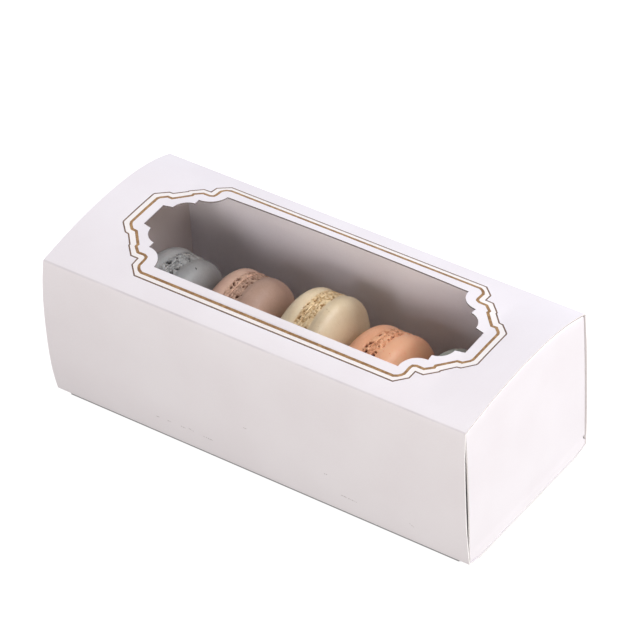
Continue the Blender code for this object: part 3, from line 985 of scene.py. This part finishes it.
def shell_finish(name, colours):
    """Baked shell: smooth and faintly mottled over the dome, frothy in the foot, with painted highlight on the foot's
    crests and painted shade in its troughs and pits.
    """
    light, dim, crest_highlight_colour, trough_shade_colour, pit_shade_and_speck_colour = (linear(*colour) for colour in colours)
    finish = Finish("shell_" + name, Specular_IOR_Level=0.45, Subsurface_Weight=0.08,
                    Subsurface_Radius=(1.8 * MM, 1.1 * MM, 0.7 * MM), Subsurface_Scale=1.0)
    pit, foot, crest = (finish.attribute(part) for part in ("pit", "foot", "crest"))
    clouds = finish.waves(SHELL_CLOUDS, 3.0)
    grain = finish.waves(SHELL_GRAIN, 3.0, 0.65)
    tone = (clouds * 0.6 + grain * 0.4).ramp(*SHELL_TONE)
    dome = finish.mix(tone, dim, light)
    dots = 1 - finish.cells(finish.place, SHELL_DOTS).ramp(*DOT_RIM)
    chosen = finish.waves(DOT_PATCHES, 1.0).ramp(*DOT_CHOICE)
    dome = finish.mix(dots * chosen * DOT_STRENGTH, dome, pit_shade_and_speck_colour)
    # Painted highlight on the foot's crests and painted shade in its troughs, over the shell's own colour
    froth = finish.mix((crest * 0.7 + grain * 0.3).ramp(*CREST_TONE), trough_shade_colour, crest_highlight_colour)
    # Each half's colours are scaled by its painted light and shade
    colour = finish.mix(1.0, finish.mix(foot, dome, froth), finish.attribute("tone"), "MULTIPLY")
    if name in SPECKS:
        pit = pit.most(speck_mask(finish, SPECKS[name]))
    # Painted shade in the pits, in the same dark colour as the real specks
    finish.colour(finish.mix(pit, colour, pit_shade_and_speck_colour))
    finish.roughness(tone.straight(0, 1, *SHELL_ROUGHNESS) + foot * FOOT_ROUGHER)
    finish.bump(grain * 0.5 + clouds * 0.5 - pit * 1.5, SHELL_RELIEF)
    return finish.material


def speck_mask(finish, specks):
    """Small ragged spots at given places."""
    x, y, z = finish.axes()
    ragged = finish.waves(SPECK_EDGES) - 0.5
    spots = []
    for *centre, radius, strength in specks:
        off_x, off_y, off_z = (axis - middle * MM for axis, middle in zip((x, y, z), centre))
        away = (off_x * off_x + off_y * off_y + off_z * off_z) ** 0.5 + ragged * radius * MM
        spots.append((1 - away.ramp(radius * 0.5 * MM, radius * 1.1 * MM)) * strength)
    return reduce(Value.most, spots)


def filling_finish(name, colours):
    """The filling's rim: as crumbly as the feet, with painted highlight and shade on its froth and painted shade in
    its hollows.
    """
    crest_highlight_colour, trough_shade_colour, pit_shade_and_speck_colour = (linear(*colour) for colour in colours[2:])
    finish = Finish("filling_" + name, Roughness=0.62, Specular_IOR_Level=0.33)
    froth = finish.waves(FILLING_FROTH, 3.0, 0.62)
    hollows = 1 - (finish.cells(finish.place, FILLING_HOLLOWS) + (froth - 0.5) * 0.5).ramp(*HOLLOW_RIM)
    few = finish.waves(HOLLOW_PATCHES, 1.0).ramp(*HOLLOW_CHOICE)
    # Painted highlight and shade on the froth, and painted shade in the hollows
    colour = finish.mix(froth.ramp(*CREST_TONE), trough_shade_colour, crest_highlight_colour)
    finish.colour(finish.mix(hollows * few * HOLLOW_STRENGTH, colour, pit_shade_and_speck_colour))
    finish.bump(froth, FILLING_RELIEF)
    return finish.material


def make_filling(name, radius, basis, centre, seed, material):
    """The layer between the halves, spread unevenly to its lumpy rim just inside their feet."""
    bm = bmesh.new()
    edge = radius - FILLING_INSET - FILLING_RIM_HALF
    rows = []
    for turn in range(FILLING_ROUNDS):
        angle = TURN * turn / FILLING_ROUNDS
        reach = edge
        for count, height in FILLING_LUMPS:
            spot = Vector((math.cos(angle) * count, math.sin(angle) * count, seed))
            reach += height * noise.fractal(spot, 1.0, 2.0, 2)
        flat = [reach * step / FILLING_FLAT_STEPS for step in range(FILLING_FLAT_STEPS)]
        profile = [(r, FILLING_HALF) for r in flat]
        for step in range(FILLING_RIM_STEPS + 1):
            climb = math.pi * (0.5 - step / FILLING_RIM_STEPS)
            s = FILLING_RIM_HALF * math.sin(climb)
            spot = Vector((math.cos(angle) * radius, math.sin(angle) * radius, s)) / GRIT_SIZE
            grit = noise.fractal(spot + Vector((0, 0, seed * GRIT_SEED_STEP)), 1.0, 2.0, 3)
            fullness = max(0.0, math.cos(climb)) ** FILLING_SQUARENESS
            profile.append((reach + (FILLING_RIM_HALF + FILLING_GRIT * grit) * fullness, s))
        profile += [(r, -FILLING_HALF) for r in reversed(flat)]
        row = [bm.verts.new(basis @ Vector((r * math.cos(angle), r * math.sin(angle), s)) + centre)
               for r, s in profile]
        rows.append(row)
    for row, following in zip(rows, rows[1:] + rows[:1]):
        for step in range(len(row) - 1):
            bm.faces.new([row[step], following[step], following[step + 1], row[step + 1]])
    bmesh.ops.remove_doubles(bm, verts=bm.verts, dist=FILLING_WELD)
    bmesh.ops.dissolve_degenerate(bm, edges=bm.edges, dist=FILLING_WELD / 2)
    bmesh.ops.recalc_face_normals(bm, faces=bm.faces)
    return finished("filling_" + name, bm, [material])


def make_macarons():
    """All five, each turned and leaning as it stands in the tray, with its seam where its solid's is."""
    tree = macaron_tree()
    for name, kind in MACARONS.items():
        low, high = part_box("macaron_%s_filling" % name)
        centre = (low + high) / 2
        basis = Matrix.Rotation(math.radians(kind["turn"]), 3, "Z") @ Matrix.Rotation(
            math.radians(90 + kind["lean"]), 3, "Y")
        material = shell_finish(name, SHELLS[name])
        for side, flip in (("left", math.pi), ("right", 0.0)):
            seed = kind["seed"] + (side == "right")
            draw = random.Random(seed)
            phases = [draw.uniform(0, TURN) for _ in range(2)]
            turned = basis @ Matrix.Rotation(flip, 3, "X")
            half = grown("shell_%s_%s" % (name, side), tree, {
                "Radius": kind["radius"] * MM, "Height": kind[side] * MM, "Phase two": phases[0],
                "Phase three": phases[1], "Seed": float(seed + 1), "Froth": FROTH_HEIGHT, "Dome waver": DOME_WAVER,
                "Bubbles": BUBBLES[name], "Pit depth": PIT_DEPTHS[name],
                "Painted light": HALF_PAINTED_LIGHT.get("%s_%s" % (name, side), 1.0), "Rotation": tuple(turned.to_euler()),
                "Place": tuple(centre), "Material": material})
            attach(half, "tray")
            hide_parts("macaron_%s_%s" % (name, side))
        filling = make_filling(name, kind["radius"] * MM, basis, centre, kind["seed"],
                               filling_finish(name, SHELLS[name]))
        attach(filling, "tray")
        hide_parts("macaron_%s_filling" % name)


def make_camera():
    back = Vector((math.sin(AZIMUTH) * math.cos(ELEVATION), -math.cos(AZIMUTH) * math.cos(ELEVATION),
                   math.sin(ELEVATION)))
    right = Vector((math.cos(AZIMUTH), math.sin(AZIMUTH), 0))
    up = back.cross(right)
    across = math.cos(ROLL) * right + math.sin(ROLL) * up
    upright = -math.sin(ROLL) * right + math.cos(ROLL) * up
    centre = Vector((0, 0, BOX_HEIGHT_SHARE * LENGTH / 2 + BOTTOM_SAG))
    camera = bpy.data.objects.new("camera", bpy.data.cameras.new("camera"))
    camera.data.sensor_width = SENSOR
    camera.data.lens = FOCAL_PIXELS * SENSOR / PICTURE_WIDTH
    camera.data.clip_start, camera.data.clip_end = CLIP
    placed = Matrix((across, upright, back)).transposed().to_4x4()
    placed.translation = centre + LENGTH * (DISTANCE * back - SHIFT[0] * across - SHIFT[1] * upright)
    camera.matrix_world = placed
    bpy.context.scene.collection.objects.link(camera)
    bpy.context.scene.camera = camera


# Soft square lamps round the box, all aimed at its middle: azimuth from the front towards +X and elevation in
# degrees, side in metres, power in watts and colour
LAMP_DISTANCE = 1.6
LAMPS = {
    "back_right_low": (150, 18, 0.6, 12.6, (1.0, 0.975, 1.03)),
    "back_right": (135, 35, 0.7, 10.9, (0.965, 0.99, 1.035)),
    "front": (0, 27, 0.3, 4.3, (1.0, 0.955, 1.03)),
    "front_right_low": (30, 12, 0.3, 3.4, (1.18, 1.06, 0.8)),
    "front_right": (30, 20, 0.3, 5.9, (1.05, 0.99, 0.93)),
    "right": (90, 45, 0.7, 5.0, (1.02, 0.97, 1.0)),
    "right_low": (90, 12, 0.6, 0.9, (1.2, 1.05, 0.55)),
    "left_low": (-90, 12, 0.6, 7.6, (0.97, 0.99, 1.03)),
}
SKY_STRENGTH = 0.308
SKY_COLOUR = (1.0, 0.985, 1.005, 1.0)
FLOOR_HALF = 3.0
FLOOR_CELLS = 8
FLOOR_GLOW = 0.85
FLOOR_WHITE = 0.5

# The painted contact shadow in the crack under the box, which ends before the box's corners
CONTACT_HALF_WIDTH = WIDTH / 2 - 0.6 * MM
CONTACT_HALF_LENGTH = LENGTH / 2 + 0.4 * MM
CONTACT_CORNER = 5.0 * MM
CONTACT_SOFTNESS = 0.6 * MM
PAINTED_CONTACT_SHADOW = 0.16


def make_lamp(name, azimuth, elevation, side, power, colour):
    light = bpy.data.lights.new(name, "AREA")
    light.shape = "SQUARE"
    light.size = side
    light.energy = power
    light.color = colour
    lamp = bpy.data.objects.new(name, light)
    turn, climb = math.radians(azimuth), math.radians(elevation)
    place = Vector((math.sin(turn) * math.cos(climb), -math.cos(turn) * math.cos(climb), math.sin(climb)))
    lamp.location = place * LAMP_DISTANCE
    lamp.rotation_euler = (-place).to_track_quat("-Z", "Y").to_euler()
    bpy.context.scene.collection.objects.link(lamp)


def floor_finish():
    """White paper that glows like a light table, with a painted contact shadow in the crack under the box."""
    finish = Finish("studio_floor", Roughness=0.9, Emission_Strength=FLOOR_GLOW)
    x, y, _ = finish.axes()
    past_end, past_side = x.size() - CONTACT_HALF_LENGTH, y.size() - CONTACT_HALF_WIDTH
    past = past_end.most(past_side).most((past_end + past_side + CONTACT_CORNER) * math.sqrt(0.5))
    # Colour and glow turn dark next to the box's footprint: painted contact shadow
    open_floor = past.ramp(-CONTACT_SOFTNESS, 0.0)
    finish.colour(finish.mix(open_floor, grey(PAINTED_CONTACT_SHADOW), grey(FLOOR_WHITE)))
    finish.glow(finish.mix(open_floor, grey(PAINTED_CONTACT_SHADOW), grey(1.0)))
    return finish.material


def make_studio():
    """A white floor, a pale sky and soft lamps. The floor's glow doesn't light the box."""
    bm = bmesh.new()
    bmesh.ops.create_grid(bm, x_segments=FLOOR_CELLS, y_segments=FLOOR_CELLS, size=FLOOR_HALF)
    floor = finished("studio_floor", bm, [floor_finish()])
    floor.visible_diffuse = False
    floor.visible_glossy = False
    world = bpy.data.worlds.new("studio")
    bpy.context.scene.world = world
    world.use_nodes = True
    sky = world.node_tree.nodes["Background"]
    sky.inputs["Color"].default_value = SKY_COLOUR
    sky.inputs["Strength"].default_value = SKY_STRENGTH
    for name, lamp in LAMPS.items():
        make_lamp(name, *lamp)
    bpy.context.scene.view_settings.view_transform = "Standard"


make_camera()
make_studio()

card_outside = card_finish("card_outside", CARD_WHITE, CARD_DIM, CARD_ROUGHNESS, scuffed_and_fold_shaded=True)
print_margin = card_finish("print_margin", MARGIN_WHITE, MARGIN_DIM, CARD_ROUGHNESS)
card_plain = card_finish("card_plain", CARD_WHITE, CARD_DIM, CARD_ROUGHNESS)
card_inside = card_finish("card_inside", INSIDE_WHITE, INSIDE_DIM, INSIDE_ROUGHNESS)
card_end_painted_shade = card_finish("card_end_painted_shade", SHADED_END_WHITE, SHADED_END_DIM, INSIDE_ROUGHNESS)
cut_edge = edge_finish("card_cut_edge", EDGE_DIM, EDGE_WHITE)
shaded_cut_core = edge_finish("card_core_and_painted_shade", SHADED_CORE_DARK, SHADED_CORE_LIGHT)
shaded_window_edge = edge_finish("window_edge_core_and_painted_shade", SHADED_WINDOW_EDGE_DARK, SHADED_WINDOW_EDGE_LIGHT)
wide_ink = ink_finish("bronze_ink", BRONZE, BRONZE_LIGHT)
fine_ink = ink_finish("brown_ink", BROWN, BROWN_LIGHT)

sleeve = make_sleeve([card_outside, wide_ink, fine_ink, print_margin, card_inside, cut_edge, shaded_cut_core, shaded_window_edge])
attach(sleeve, "sleeve")
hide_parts("sleeve")

tray_materials = [card_plain, card_inside, cut_edge, shaded_cut_core]
trough = make_tray_trough(tray_materials)
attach(trough, "tray")
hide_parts("tray")
for end_name, end_way in (("tray_end_left", -1), ("tray_end_right", 1)):
    end_piece = make_tray_end(end_name, end_way, tray_materials + [card_end_painted_shade])
    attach(end_piece, "tray")

make_macarons()
